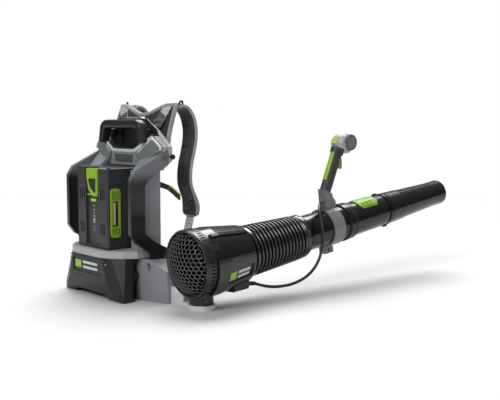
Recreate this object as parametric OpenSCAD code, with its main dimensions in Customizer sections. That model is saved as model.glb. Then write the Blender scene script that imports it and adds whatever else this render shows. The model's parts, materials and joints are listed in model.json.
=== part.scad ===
// Backpack leaf blower: harness pack with a battery bay, a swivel arm at its lower right, and on
// the arm an axial fan, a bellows hose and a tube with a control handle. Millimetres, +Z up.
// The wearer faces +Y and the wearer's right is +X. The origin is on the floor, on the pack's
// centre plane, under the front foot.

/* [Pack] */
// Half width over the side guards
guard_x = 147; // [144:1:150]
// Top of the carry handle above the floor
handle_top = 421; // [419:1:423]
// Top of the back frame above the floor
frame_top = 428; // [426:1:432]
// Top face of the battery dock
dock_top = 117; // [116:1:118]
// Rear face of the lower housing
rear_y = -130; // [-132:1:-128]

/* [Battery] */
// Width of the battery
battery_w = 140; // [136:1:142]
// Rear face of the battery
battery_rear = -113; // [-115:1:-111]
// Height of the battery
battery_h = 191; // [189:1:192]

/* [Blower] */
// Sideways position of the blower's axis
blower_x = 290; // [288:1:294]
// Height of the hose pivot above the floor
pivot_z = 126; // [125:1:128]
// Upward tilt of the fan housing, in degrees
house_pitch = 5; // [4.5:0.5:5.5]
// Outer radius of the fan housing
house_r = 75; // [74:0.5:76]
// Impeller blades
blade_count = 9; // [7:1:11]
// Guide vanes behind the impeller
vane_count = 7; // [5:1:9]

/* [Hose and tube] */
// Upward tilt of the tube, in degrees
tube_pitch = 8; // [7.5:0.5:8.5]
// Ridges on the bellows hose
ridge_count = 14; // [12:1:16]
// Outer radius of the rear tube
tube_r = 44; // [43.5:0.5:44.5]
// Distance from the hose pivot to the nozzle's mouth
nozzle_end = 646; // [636:1:660]
// Outer radius of the nozzle's mouth
nozzle_r = 34; // [33:0.5:35]

/* [Control handle] */
// Forward lean of the grip from the tube's normal, in degrees
grip_lean = 31; // [29:1:32]
// Length of the grip
grip_l = 114; // [112:1:115]

/* [Harness] */
// Width of a shoulder strap
strap_w = 60; // [56:1:64]
// Thickness of a shoulder strap
strap_t = 12; // [9:1:13]
// Distance between the shoulder straps' centres
strap_gap = 190; // [188:1:192]

/* [Control cable] */
// Diameter of the cable
cable_d = 7; // [6:0.5:8]

/* [Hidden] */

fine = 72;             // facets of a drawn circle
gap = 0.4;             // clearance between neighbouring moulded pieces
run = 0.04;            // radial running clearance

// Lower housing
deck_z = 100;          // top of the lower housing
pad_h = 2;             // rubber under the housing
arch_h = 14;           // clearance under the rear of the housing
web_z = 108;           // underside of the dock's web
tray_y = 22;           // front of the lower housing
rail_y = 34;           // front of its foot rail
wall = 4;              // moulded wall thickness

// Hose pivot and the blower's frames
pivot = [blower_x, 196, pivot_z];
rim_s = -243;          // intake rim, along the axis from the pivot
neck_s = -98;          // front face of the fan housing
hose_half = 89;        // half length of the bellows hose
swivel_y = -10;        // swivel axis behind the hose pivot
cup_top = 12;          // top of the swivel cup
journal_r = 12;        // swivel journal
grip_s = 200;          // foot of the grip, along the tube from the pivot
grip_h = 90;           // foot of the grip above the tube's axis
head_c = [0, 10, 131]; // centre of the handle's head, in the grip's frame
dial_c = [0, 18, 139]; // centre of the speed dial, in the grip's frame
clamp_s = 176;         // rear edge of the clamp band
clamp_l = 38;          // width of the clamp band
joint_s = 396;         // rear edge of the nozzle

// Battery
bat_z = dock_top + 1;  // underside of the battery
bat_x = battery_w / 2;
bat_front = -26;       // front face of the battery
cell_r = 10.5;
cell_h = 70;
latch_z = 243;         // hinge pin of the latch

// Route of the control cable from the relief's tip to the handle base
cable_route = [[319.2, 123, 45.8], [321, 136, 41], [325, 154, 36], [330, 173, 33], [336, 193, 33],
    [342, 213, 35], [347, 233, 40], [351, 252, 48], [353, 269, 58], [354, 284, 71], [354, 296, 87],
    [354, 304, 105], [353, 309, 124], [351, 312, 144], [347, 314, 163], [340, 317, 180],
    [330, 323, 194], [319, 332, 205], [307, 345, 213], [297.4, 360, 216.5]];
cable_sides = 10;

// ---------------------------------------------------------------- outlines
function unit(v) = v / norm(v);

// Corner i of a closed outline as an arc of radius r in n steps
function corner(pts, i, r, n) =
    let (m = len(pts), p = pts[i], a = unit(pts[(i + m - 1) % m] - p), b = unit(pts[(i + 1) % m] - p),
        half = acos(a * b) / 2, c = p + unit(a + b) * r / sin(half),
        s = p + a * r / tan(half) - c, e = p + b * r / tan(half) - c,
        t0 = atan2(s[1], s[0]), d = atan2(e[1], e[0]) - t0,
        sweep = d > 180 ? d - 360 : d < -180 ? d + 360 : d)
    [for (k = [0:n]) c + r * [cos(t0 + sweep * k / n), sin(t0 + sweep * k / n)]];
function softened(pts, r, n = 3) = [for (i = [0:len(pts) - 1]) each corner(pts, i, r, n)];
function rect(x0, y0, x1, y1) = [[x0, y0], [x1, y0], [x1, y1], [x0, y1]];

// Right half of an outline, from bottom centre to top centre, made whole
function both_sides(half) =
    concat(half, [for (i = [len(half) - 1:-1:0]) [-half[i][0], half[i][1]]]);

// Outline of a band of thickness t along an open centre line
function line_dir(p, i) = unit(p[min(i + 1, len(p) - 1)] - p[max(i - 1, 0)]);
function side_of(p, i, d) = p[i] + d * [-line_dir(p, i)[1], line_dir(p, i)[0]];
function band(p, t) = concat([for (i = [0:len(p) - 1]) side_of(p, i, t / 2)],
    [for (i = [len(p) - 1:-1:0]) side_of(p, i, -t / 2)]);

// ---------------------------------------------------------------- placing
module along_x(x0, x1, pts) {
    translate([x0, 0, 0]) rotate([90, 0, 90]) linear_extrude(x1 - x0) polygon(pts);
}
module along_y(y0, y1, pts) {
    translate([0, y1, 0]) rotate([90, 0, 0]) linear_extrude(y1 - y0) polygon(pts);
}
module along_z(z0, z1, pts) { translate([0, 0, z0]) linear_extrude(z1 - z0) polygon(pts); }
module block(lo, hi) { translate(lo) cube(hi - lo); }
module mirrored() {
    children();
    mirror([1, 0, 0]) children();
}
module house_frame() { translate(pivot) rotate([house_pitch, 0, 0]) children(); }
module tube_frame() { translate(pivot) rotate([tube_pitch, 0, 0]) children(); }
module grip_frame() { tube_frame() translate([0, grip_s, grip_h]) rotate([-grip_lean, 0, 0]) children(); }

// Solid of revolution about the local Y axis; profile points are [radius, distance along Y]
module turned(profile, from = 0, sweep = 360) {
    rotate([-90, 0, 0]) rotate([0, 0, from]) rotate_extrude(angle = sweep, $fn = fine) polygon(profile);
}
// Cone or cylinder from point a to point b
module rod(a, b, r1, r2, sides = fine) {
    d = b - a;
    translate(a) rotate([0, acos(d[2] / norm(d)), atan2(d[1], d[0])])
        cylinder(h = norm(d), r1 = r1, r2 = r2, $fn = sides);
}

// ---------------------------------------------------------------- pack: base
// The housing leans out to its feet; its rear face leans back from the floor
module housing_form() {
    intersection() {
        hull() {
            along_z(pad_h, 16, both_sides([[92, rear_y], [114, -120], [134, -113], [134, tray_y]]));
            along_z(deck_z - 1, deck_z, both_sides([[68, rear_y], [90, -119], [118, -98], [118, tray_y]]));
        }
        along_x(-150, 150, [[-115, 0], [tray_y, 0], [tray_y, deck_z], [rear_y, deck_z],
            [rear_y, 44], [-124, 14]]);
    }
}
module foot_slots(clear = 0) {
    mirrored() block([94 - clear, -106 - clear, 0], [124 + clear, -78 + clear, 7 + clear]);
    block([-124 - clear, -14 - clear, 0], [98 + clear, 32 + clear, 6 + clear]);
}
module lower_housing() {
    color("#3b3b3e") difference() {
        union() {
            difference() {
                housing_form();
                // seat of the side base behind the right wing
                block([103.6, -60, -1], [150, 60, deck_z + 1]);
                // faceted end of the right wing
                intersection() {
                    along_z(-1, deck_z + 1, [[100, -59], [150, -59], [150, -108]]);
                    along_y(-120, -50, [[103, -2], [103, 34], [119, 58], [102, 76], [119, deck_z + 1],
                        [160, deck_z + 1], [160, -2]]);
                }
            }
            // front rail that carries the front foot
            block([-130, -18, pad_h], [103.4, rail_y, 24]);
            // brackets for the lower ends of the side guards
            for (x = [-guard_x + 12, 100]) block([x, -30, 66], [x + guard_x - 112, 6, deck_z - 0.2]);
        }
        along_z(18, deck_z + 1, both_sides([[60, -122], [82, -110], [98, -98], [98, 17.4]]));
        // clearance between the rear feet
        along_y(-140, -18.1, both_sides([[79, -1], [79, pad_h], [66, arch_h]]));
        foot_slots(0.1);
        // shallow panel recess and the groove under the deck
        along_y(rear_y - 1, rear_y + 2, softened(rect(-66, 57, 66, 92), 8));
        along_y(rear_y - 1, rear_y + 3, rect(-80, 94, 80, 97));
    }
}
module foot_pads() { color("#1c1c1e") foot_slots(); }

module controller_box() {
    color("#b9bcc0") difference() {
        block([-70, -92, 18.1], [70, 4, 72]);
        block([-67, -89, 21], [67, 1, 69]);
        // cooling ribs
        for (k = [-5:5]) block([k * 12 - 3, -93, 70.5], [k * 12 + 3, 5, 73]);
    }
}

// ---------------------------------------------------------------- pack: bay
module battery_dock() {
    color("#a9acb0") difference() {
        union() {
            along_z(deck_z, dock_top - 2, softened(both_sides([[62, rear_y], [86, -121], [112, -100],
                [129, -72], [129, 4]]), 3, 2));
            along_z(dock_top - 2, dock_top, softened(both_sides([[60, rear_y + 3], [84, -118],
                [109, -98], [126, -71], [126, 2]]), 3, 2));
        }
        // hollow underside
        along_z(deck_z - 1, web_z, both_sides([[56, -120], [80, -110], [94, -98], [94, -4]]));
        // shallow seat for the battery's foot
        block([-bat_x - 1.5, battery_rear - 1.5, dock_top - 1], [bat_x + 1.5, bat_front + 1.5, dock_top + 1]);
        for (x = [-20, 0, 20]) block([x - 1.5, -64, deck_z - 1], [x + 1.5, -46, dock_top + 1]);
    }
}
module dock_terminals() {
    color("#b87333") union() {
        for (x = [-20, 0, 20]) block([x - 1.4, -63.5, web_z - 1], [x + 1.4, -46.5, bat_z + 14]);
        block([-26, -66, web_z - 8], [26, -44, web_z - 0.2]);
    }
}
module bay_wall() {
    color("#2c2d30") difference() {
        block([-bat_x - 2, bat_front + 1, dock_top], [bat_x + 2, 5.8, 309]);
        // weight-saving pocket behind the wall
        block([-64, -16, 130], [64, 6, 300]);
    }
}
module side_walls() {
    color("#9b9da2") mirrored() difference() {
        along_z(dock_top, 302, softened([[bat_x + 8, -56], [126, -56], [132, -44], [132, -8],
            [bat_x + 2.2, -8], [bat_x + 2.2, -21], [bat_x + 8, -21]], 2, 2));
        block([bat_x + 13, -50, dock_top + 6], [126, -7, 296]);
    }
}

// ---------------------------------------------------------------- pack: top
// Half of the faceted cowl, right side
module cowl_half() {
    hull() {
        along_x(0, 1, [[-24, 346], [-22, 311], [4, 311], [4, 346]]);
        along_x(48, 50, [[-24, 346], [-22, 311], [4, 311], [4, 346]]);
    }
    hull() {
        along_x(49, 50, [[-24, 346], [-22, 311], [4, 311], [4, 346]]);
        along_x(111, 112, [[-12, 384], [-12, 311], [4, 311], [4, 384]]);
        along_x(146, 147, [[-8, 357], [-4, 322], [4, 322], [4, 357]]);
    }
    hull() {
        along_x(bat_x + 6, bat_x + 7, [[-48, 303], [-14, 303], [-14, 330], [-22, 330]]);
        along_x(131, 132, [[-44, 303], [4, 303], [4, 340], [-12, 340]]);
    }
}
// Everything below the top edge of the side guards
module under_guards() {
    mirrored() along_x(guard_x - 12.4, guard_x + 10, [[-120, 200], [-120, 307], [-86.6, 307], [7, 351.4],
        [7, 200]]);
}
module cowl() {
    color("#8f9296") difference() {
        mirrored() cowl_half();
        // everything above the recess lip stays open
        along_y(-60, 6, both_sides([[47, 346], [116, 383], [116, 470]]));
        under_guards();
    }
}
module shoulder_panels() {
    color("#7e8684") mirrored() difference() {
        hull() for (p = [[58, 340, -25.2], [110, 374, -15.6], [139, 353, -12.4], [76, 316, -25]])
            translate([p[0], p[2] + 6, p[1]]) rotate([90, 0, 0]) cylinder(h = 6, r = 3, $fn = 16);
        cowl_half();
        under_guards();
    }
}
module recess_liner() {
    color("#333437") difference() {
        union() {
            along_y(2, 5.8, softened(both_sides([[46.5, 346.3], [110, 380.5], [100, 400], [62, 424]]), 2, 2));
            along_y(5, 12.6, softened(rect(-54, 354, 54, 404), 8));
        }
        // the finger space behind the bar
        along_y(1, 10.6, softened(rect(-51.5, 356.5, 51.5, 401.5), 6));
    }
}
module carry_handle() {
    color("#2f3033") intersection() {
        union() {
            along_y(-38, -13, softened([[-88, 378], [-88, 406], [-72, handle_top], [72, handle_top],
                [88, 406], [88, 378], [64, 378], [58, 395], [-58, 395], [-64, 378]], 4));
            mirrored() block([64, -14, 384], [84, 2, 398]);
        }
        // the ends are bevelled towards the rear
        along_z(370, 430, both_sides([[74, -38], [88, -24], [88, 2]]));
    }
}
module back_frame() {
    color("#b4b6b9") difference() {
        along_y(6, 17, softened(both_sides([[96, 74], [96, 298], [146, 324], [146, 358], [119, 378],
            [86, 402], [30, frame_top]]), 4, 2));
        along_y(5, 18, softened(both_sides([[60, 130], [60, 280]]), 1.5, 2));
        // takes the back of the recess liner
        along_y(5, 12.9, softened(rect(-54.4, 353.6, 54.4, 404.4), 8));
    }
}
// C-shaped bar beside the battery, drawn from the side
module guard_form() {
    softened_outer = softened([[6, 62], [-24, 72], [-38, 98], [-50, 116], [-84, 136], [-100, 158],
        [-100, 284], [-86, 306], [6, 350], [6, 316], [-50, 283], [-61, 268], [-61, 158], [-34, 138],
        [6, 118]], 5, 3);
    along_x(guard_x - 12, guard_x, softened_outer);
}
module side_guard_right() { color("#232426") guard_form(); }
module side_guard_left() { color("#232426") mirror([1, 0, 0]) guard_form(); }
module pack_screws() {
    color("#55575a") {
        mirrored() rod([80.8, -127.3, 86], [81.6, -128.9, 86], 3.4, 3.4, 6);
        mirrored() rod([guard_x, -6, 331], [guard_x + 2.5, -6, 331], 4.5, 4.5);
        mirrored() rod([guard_x, -8, 102], [guard_x + 2.5, -8, 102], 4.5, 4.5);
    }
}
module strap_hook() {
    color("#202123") union() {
        rod([146, 12, 334], [153, 12, 334], 3, 3);
        rod([153, 12, 334], [157, 12, 334], 6, 6);
    }
}

// ---------------------------------------------------------------- pack: arm
module side_base() {
    color("#c3c5c8") difference() {
        intersection() {
            along_z(0, 112, [[104.4, -59.6], [124, -59.6], [170, -46], [196, -36], [200, -24],
                [200, 60], [104.4, 60]]);
            along_y(-60, 70, [[104.4, 0], [210, 0], [210, 70], [196, 74], [146, 98], [104.4, 98]]);
        }
        // bolt pocket in the rear face
        along_y(-60, -34, [[140, 84], [146, 92], [154, 82], [147, 68]]);
        // room for the guard's lower end and its bracket
        along_x(104, guard_x + 0.5, [[-41, 60], [70, 60], [70, 120], [-41, 120]]);
    }
}
module swivel_arm() {
    color("#d5d6d8") difference() {
        union() {
            hull() {
                block([200.2, -28, 0], [202, 26, 40]);
                translate([blower_x - 20, swivel_y, 0]) cylinder(h = 9, r = 20, $fn = 32);
            }
            translate([blower_x, swivel_y, 0]) cylinder(h = cup_top, r = 31, $fn = fine);
        }
        translate([blower_x, swivel_y, 2]) cylinder(h = 40, r = 15.02, $fn = fine);
        // clears the turning housing above the cup
        translate([blower_x, swivel_y, cup_top]) cylinder(h = 60, r = 46, $fn = fine);
    }
}
module swivel_bush() {
    color("#d9c48a") translate([blower_x, swivel_y, 2]) difference() {
        cylinder(h = cup_top - 2, r = 15, $fn = fine);
        translate([0, 0, -1]) cylinder(h = cup_top + 2, r = journal_r + run, $fn = fine);
    }
}

// ---------------------------------------------------------------- harness
module back_pad() { color("#2a2b2d") along_y(18, 36, softened(rect(-74, 130, 74, 352), 22, 4)); }

// Thin cross-section of the yoke at sideways position x
module yoke_rib(x, bottom, top) {
    along_x(x, x + 1, [bottom, bottom + [10, 0], top + [10, 0], top]);
}
module shoulder_yoke() {
    color("#37383a") mirrored() {
        hull() {
            yoke_rib(0, [20, 358], [32, 438]);
            yoke_rib(58, [20, 356], [44, 447]);
        }
        hull() {
            yoke_rib(58, [20, 356], [44, 447]);
            yoke_rib(118, [22, 362], [46, 447]);
        }
    }
}
strap_line = [[57, 450.5], [66, 452.5], [75, 452], [84, 448], [92, 440], [99, 429], [104, 415],
    [107.5, 393], [105.5, 366], [99.5, 340], [92.7, 313], [89.7, 286], [90.5, 265], [96, 248],
    [104.5, 229], [108.5, 212], [108, 200]];
module shoulder_strap() {
    along_x(strap_gap / 2 - strap_w / 2, strap_gap / 2 + strap_w / 2, band(strap_line, strap_t));
}
module shoulder_strap_right() { color("#303133") shoulder_strap(); }
module shoulder_strap_left() { color("#303133") mirror([1, 0, 0]) shoulder_strap(); }
module strap_webbing() {
    color("#a7a9ac") mirrored() {
        along_x(80, 112, band([[107, 199.5], [104, 176], [97, 152], [82, 130], [60, 116],
            [43, 109.5]], 2.4));
        along_x(80, 104, band([[44, 109.9], [30, 106.5], [18.5, 105]], 2.4));
    }
}
module load_lifters() {
    color("#a7a9ac") mirrored() hull() {
        block([58, 23.2, 406], [90, 26.2, 409]);
        block([84, 43, 461], [116, 46, 464]);
    }
}
module chest_strap() {
    color("#8c8e91") along_y(96, 98.5, [[-64.5, 270], [26, 255.4], [13.6, 244], [-64.5, 253]]);
}
module chest_buckle() {
    color("#b6cf35") along_y(93, 101, [[14, 244], [26.6, 255.8], [64.5, 237], [64.5, 221]]);
}
module hip_belt() {
    color("#333436") mirrored()
        along_z(88, 122, band([[113, 23.4], [114, 31], [124, 46], [130, 66], [130, 90], [124, 112]], 10));
}

// ---------------------------------------------------------------- battery
// Plan of the battery with bevelled corners, drawn in X and Y
function battery_plan() = both_sides([[bat_x - 3, battery_rear], [bat_x, battery_rear + 3],
    [bat_x, bat_front]]);
module battery_case() {
    color("#414245") difference() {
        along_z(bat_z, bat_z + battery_h, battery_plan());
        block([-bat_x + 6, battery_rear + 11, bat_z + wall], [bat_x - 6, bat_front - 3, bat_z + battery_h - wall]);
        // central channel for the latch
        block([-30, battery_rear - 1, bat_z + 6], [30, battery_rear + 5, bat_z + battery_h + 1]);
        // pocket that the latch swings in
        block([-26, battery_rear + 4, 238], [27, battery_rear + 10, 309]);
        // vents, two groups on each rear lobe
        for (s = [-1, 1], x = [38, 46, 54], z = [150, 232])
            block([s * x - 2, battery_rear - 1, z], [s * x + 2, battery_rear + 4, z + 26]);
        // bore of the latch's hinge pin
        rod([-32, battery_rear + 3.5, latch_z], [32, battery_rear + 3.5, latch_z], 2 + run, 2 + run);
        // terminal slots
        for (x = [-20, 0, 20]) block([x - 2, -66, bat_z - 1], [x + 2, -44, bat_z + 16]);
        // gauge recess on the right side and the button's hole
        along_x(bat_x - 2, bat_x + 1, softened(rect(-107, 145, -79, 261), 8, 3));
        block([-12, battery_rear + 4, 226], [12, battery_rear + 9, 234]);
        // parting line around the head of the case
        for (s = [-1, 1]) block([s > 0 ? bat_x - 1 : -bat_x - 1, -96, 268], [s > 0 ? bat_x + 1 : -bat_x + 1, -26, 270]);
    }
}
module battery_cells() {
    color("#6fa8c9") for (i = [-2:2], j = [0:2], k = [0, 1])
        translate([i * 22.4, battery_rear + 22.5 + j * 22, bat_z + 20 + k * (cell_h + 6)])
            cylinder(h = cell_h, r = cell_r, $fn = 32);
}
module gauge_frame() {
    color("#a4cc39") difference() {
        along_x(bat_x - 2, bat_x + 2, softened(rect(-106.5, 145.5, -79.5, 260.5), 8, 3));
        along_x(bat_x - 3, bat_x + 3, rect(-101, 171, -85, 231));
    }
}
module gauge_window() { color("#4a4146") along_x(bat_x - 2, bat_x + 0.6, rect(-100.8, 171.2, -85.2, 230.8)); }
module battery_latch() {
    color("#9fc93a") difference() {
        along_y(battery_rear - 1, battery_rear + 6, softened([[-24, 306], [25, 306], [24, 240], [4, 240],
            [-16, 254], [-24, 282]], 3, 3));
        along_y(battery_rear - 2, battery_rear + 7, softened([[-17, 282], [18, 282], [17, 248], [6, 248],
            [-10, 259], [-17, 274]], 2, 2));
        // hollow back
        along_y(battery_rear + 2, battery_rear + 7, rect(-19, 288, 20, 301));
    }
    color("#9fc93a") rod([-31.5, battery_rear + 3.5, latch_z], [31.5, battery_rear + 3.5, latch_z], 2, 2);
}
module gauge_button() { color("#b9d95c") block([-11, battery_rear + 3, 227], [11, battery_rear + 7, 233]); }

// ---------------------------------------------------------------- blower
house_outer = [[house_r, -222], [house_r, -190], [63, neck_s]];
module fan_housing() {
    color("#1f2022") house_frame() difference() {
        union() {
            turned(concat(house_outer, [[49, neck_s], [49, -82], [46, -82], [46, neck_s - 3],
                [60, neck_s - 3], [house_r - 3, -191], [house_r - 3, -222]]));
            // rib along the upper right side
            rotate([0, 36, 0]) along_x(-4, 4, [[-214, house_r - 1], [-214, house_r + 2], [-208, house_r + 4],
                [-190, house_r + 4], [neck_s - 6, 68], [neck_s - 6, 62.5], [-190, house_r - 1]]);
        }
    }
}
module intake_ring() {
    color("#2a2b2d") house_frame() union() {
        difference() {
            turned([[72, rim_s - 5], [75, rim_s - 5], [77, rim_s - 1], [77, -222], [72, -222]]);
            // rectangular air slots, in an upper and a lower group
            for (a = [-6:6:42], b = [0, 88]) rotate([0, a + b, 0])
                block([-1.5, rim_s + 6, 70], [1.5, -225, 80]);
        }
        // lug at the lower right with a screw eye
        difference() {
            along_y(-240, -228, softened([[30, -68], [48, -58], [50, -74], [40, -84], [28, -82]], 3, 3));
            rod([40, -241, -75], [40, -227, -75], 3, 3);
        }
        // spring clip on the right side
        rotate([0, 60, 0]) block([-7, -234, 75.8], [7, -208, 81]);
    }
}
grille_ball = 97;      // radius of the domed grille
grille_depth = 32;
function dome(r_ball, s_c, rim) = [for (k = [0:8]) let (a = k * asin(rim / r_ball) / 8)
    [r_ball * sin(a), s_c - r_ball * cos(a)]];
module intake_grille() {
    s_c = rim_s - grille_depth + grille_ball;
    inner = dome(grille_ball - 2.4, s_c, 71);
    color("#3a3b3d") house_frame() difference() {
        turned(concat(dome(grille_ball, s_c, 71.8), [for (k = [8:-1:0]) inner[k]]));
        for (ring = [1:4], k = [0:ring * 6 - 1]) rotate([0, k * 60 / ring, 0])
            translate([ring * 14.5, rim_s - grille_depth - 2, 0]) rotate([-90, 0, 0])
                cylinder(h = grille_depth + 4, r = 4.6, $fn = 16);
    }
}
module swivel_post() {
    color("#26272a") difference() {
        union() {
            translate([blower_x, swivel_y, cup_top + gap]) cylinder(h = 40, r = 27, $fn = fine);
            translate([blower_x, swivel_y, 3]) cylinder(h = 20, r = journal_r, $fn = fine);
        }
        house_frame() turned([[0, rim_s - 4], [77.2, rim_s - 4], [77.2, -221.8], [house_r + 0.2, -221.8],
            [house_r + 0.2, -190], [63.2, neck_s], [0, neck_s]]);
    }
}
module motor_can() {
    color("#8d9094") house_frame() turned([[19, -192], [30, -192], [32, -180], [32, -128], [22, -104],
        [9, -96], [9, -121], [17, -121], [17, -184], [9, -184], [9, -192]]);
}
module motor_bearings() {
    color("#c9ccd0") house_frame() for (s = [-192, -112]) turned([[5 + run, s], [8.98, s], [8.98, s + 7], [5 + run, s + 7]]);
}
module stator_vanes() {
    color("#303134") house_frame() intersection() {
        turned([[31.8, -184], [house_r - 4.3, -184], [60.5, -108], [26, -108], [32.3, -128], [32.3, -180]]);
        for (k = [0:vane_count - 1]) rotate([0, k * 360 / vane_count, 0])
            along_z(26, 80, [[-1.5, -182], [1.5, -182], [1.5, -122], [-1.5, -122]]);
    }
}
module rotor_shaft() {
    color("#a8abb0") house_frame() turned([[0, -232], [5, -232], [5, -174], [15.5, -174], [15.5, -132],
        [5, -132], [5, -104], [0, -104]]);
}
module impeller() {
    color("#4a4c50") house_frame() {
        turned([[5.02, -226], [20, -226], [29, -216], [29, -196], [25, -196], [25, -213], [5.02, -217]]);
        for (k = [0:blade_count - 1]) rotate([0, k * 360 / blade_count, 0])
            translate([0, -208, 28.2]) rotate([0, 0, 38]) block([-1.3, -11, 0], [1.3, 11, 41]);
    }
}
// Raised panel on the lower right of the fan housing, with a shallow recess for a plain badge
module side_cheek() {
    cheek_out = 7;
    color("#2b2c2f") house_frame() difference() {
        turned([[house_r + 0.3, -219], [house_r + cheek_out, -219], [house_r + cheek_out, -192],
            [64 + cheek_out, -104], [63.8, -102], [house_r + 0.3, -190]], -9, 72);
        turned([[house_r + 4.5, -188], [house_r + 12, -188], [80, -112], [68.5, -112]], 10, 26);
    }
}
relief_base = [313, 91, 48.2];
relief_tip = [319, 122, 46];
module cable_boss() {
    color("#333437") difference() {
        house_frame() difference() {
            along_y(-152, -108, softened([[6, -60], [36, -54], [44, -60], [40, -78], [8, -80]], 4, 3));
            turned([[0, -223], [house_r + 0.4, -223], [house_r + 0.4, -190], [63.4, neck_s], [0, neck_s]]);
            turned([[house_r, -219], [house_r + 7.3, -219], [house_r + 7.3, -192], [71.3, -103],
                [62, -103], [house_r - 1, -190]], -10, 73.5);
        }
        rod(relief_base, relief_tip, 6.6, 4.5);
    }
}
module cable_relief() { color("#1d1d1f") rod(relief_base, relief_tip, 6.5, 4.4); }

// Ridged tube: ridge k sits at r_out(k) and the valleys are 7 mm lower
hose_r0 = 61;
hose_r1 = 53.5;
function hose_r(s) = hose_r0 + (hose_r1 - hose_r0) * (s + hose_half) / (2 * hose_half);
hose_pitch = (2 * hose_half - 24) / ridge_count;
function hose_line(out) = [for (k = [0:ridge_count * 2]) let (s = -hose_half + 12 + k * hose_pitch / 2)
    [hose_r(s) - (k % 2 == 0 ? 7 : 0) - out, s]];
module bellows_hose() {
    inner = hose_line(2);
    color("#19191b") translate(pivot) rotate([(house_pitch + tube_pitch) / 2, 0, 0])
        turned(concat([[hose_r0 - 1, -hose_half]], hose_line(0), [[hose_r1 - 1, hose_half],
            [hose_r1 - 4, hose_half]], [for (k = [len(inner) - 1:-1:0]) inner[k]],
            [[hose_r0 - 5, -hose_half]]));
}

// ---------------------------------------------------------------- tube
module rear_tube() {
    color("#1b1b1d") tube_frame() turned([[tube_r - 1.5, 82], [tube_r - 1.5, 90], [tube_r + 7, 91],
        [tube_r + 7, 95], [tube_r, 98], [tube_r, 236], [tube_r + 4, 238], [tube_r + 4, 249],
        [tube_r - 4, 249], [tube_r - 4, 82]]);
}
module clamp_band() {
    color("#9da0a4") tube_frame() difference() {
        union() {
            turned([[tube_r + 0.2, clamp_s], [tube_r + 4.5, clamp_s], [tube_r + 4.5, clamp_s + clamp_l],
                [tube_r + 0.2, clamp_s + clamp_l]]);
            along_y(clamp_s - 2, clamp_s + clamp_l - 12, [[-14, -44.8], [-14, -66], [8, -66], [8, -44.8]]);
        }
        // split between the two lugs, and the bolt hole through them
        block([-4, clamp_s - 3, -70], [-2, clamp_s + clamp_l + 1, -40]);
        rod([-15, clamp_s + 12, -58], [9, clamp_s + 12, -58], 2.6, 2.6);
        turned([[0, clamp_s - 4], [tube_r + 0.2, clamp_s - 4], [tube_r + 0.2, clamp_s + 44], [0, clamp_s + 44]]);
    }
}
module handle_base() {
    color("#8b8e92") tube_frame() difference() {
        union() {
            // cable grommet on the rear face
            rod([-2, 190, 68], [7, 176, 67], 6.5, 4.3);
            along_x(-12, 12, [[187, 40], [222, 40], [222, 62], [213.6, 73], [212.8, 82.4], [187, 98]]);
        }
        turned([[0, 150], [tube_r + 4.7, 150], [tube_r + 4.7, 250], [0, 250]]);
        translate([0, grip_s, grip_h]) rotate([-grip_lean, 0, 0]) block([-20, -30, -0.3], [20, 40, 40]);
    }
}
// Oval section of the grip
function grip_oval(a, b) = [for (k = [0:23]) [a * cos(k * 15), b * sin(k * 15)]];
module grip_shells() {
    color("#323335") grip_frame() {
        difference() {
            union() {
                along_z(0, grip_l, grip_oval(13, 15));
                along_z(grip_l - 13, grip_l, grip_oval(16, 18.5));
            }
            along_z(-1, grip_l + 1, grip_oval(10, 11.5));
            // split between the halves, trigger slot and inlay slot
            block([-0.15, -30, -1], [0.15, 30, grip_l + 1]);
            block([-6.3, 8, 52], [6.3, 30, 99]);
            block([-6.2, -30, 25], [6.2, -12.4, 101.2]);
        }
        rod([-11.5, trigger_pin[0], trigger_pin[1]], [11.5, trigger_pin[0], trigger_pin[1]], 1.5, 1.5);
    }
}
module grip_inlay() {
    color("#a9d03c") grip_frame() intersection() {
        along_z(25.4, 100.6, grip_oval(14.5, 16.5));
        block([-6, -30, 20], [6, -12.6, 102]);
    }
}
trigger_pin = [8, 94];  // hinge of the trigger, along Y and Z in the grip's frame
module trigger() {
    color("#8fb832") grip_frame() difference() {
        along_x(-5.8, 5.8, softened([[4.5, 97.5], [15, 97.5], [22, 86], [28, 73], [25, 69], [13, 67],
            [5, 84]], 2, 3));
        rod([-7, trigger_pin[0], trigger_pin[1]], [7, trigger_pin[0], trigger_pin[1]], 1.5 + run, 1.5 + run);
    }
}
module handle_head() {
    color("#c4c6c9") grip_frame() difference() {
        union() {
            intersection() {
                translate(head_c) sphere(r = 28, $fn = 64);
                block([-20, -30, 90], [20, 50, 170]);
            }
            translate(dial_c - [17, 0, 0]) rotate([0, 90, 0]) cylinder(h = 28, r = 20, $fn = fine);
        }
        block([-40, -40, 60], [40, 60, grip_l + 0.3]);
        translate(dial_c + [2, 0, 0]) rotate([0, 90, 0]) cylinder(h = 30, r = 4 + run, $fn = fine);
        block([-7.2, -30, 120.8], [7.2, -5.5, 140.2]);
        translate(dial_c + [11.2, 0, 0]) rotate([0, 90, 0]) cylinder(h = 30, r = 21.5, $fn = fine);
    }
}
module speed_dial() {
    color("#6c6f73") grip_frame() translate(dial_c) rotate([0, 90, 0]) union() {
        translate([0, 0, 11.6]) cylinder(h = 11, r = 20, $fn = fine);
        translate([0, 0, 3]) cylinder(h = 10, r = 4, $fn = fine);
    }
}
module boost_button() {
    color("#c3da4a") grip_frame() along_z(121.2, 139.8, softened([[-6.8, -19], [6.8, -19], [6.8, -9.5],
        [-6.8, -9.5]], 2, 3));
}
module front_tube() {
    color("#1b1b1d") tube_frame() turned([[tube_r + 2.5, 249.3], [tube_r + 2.5, 266], [tube_r - 0.5, 270],
        [42, 392], [39.6, 393], [39.6, 420], [37.5, 420], [37.5, 393], [40, 385], [tube_r - 3, 270],
        [tube_r - 3, 249.3]]);
}
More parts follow.
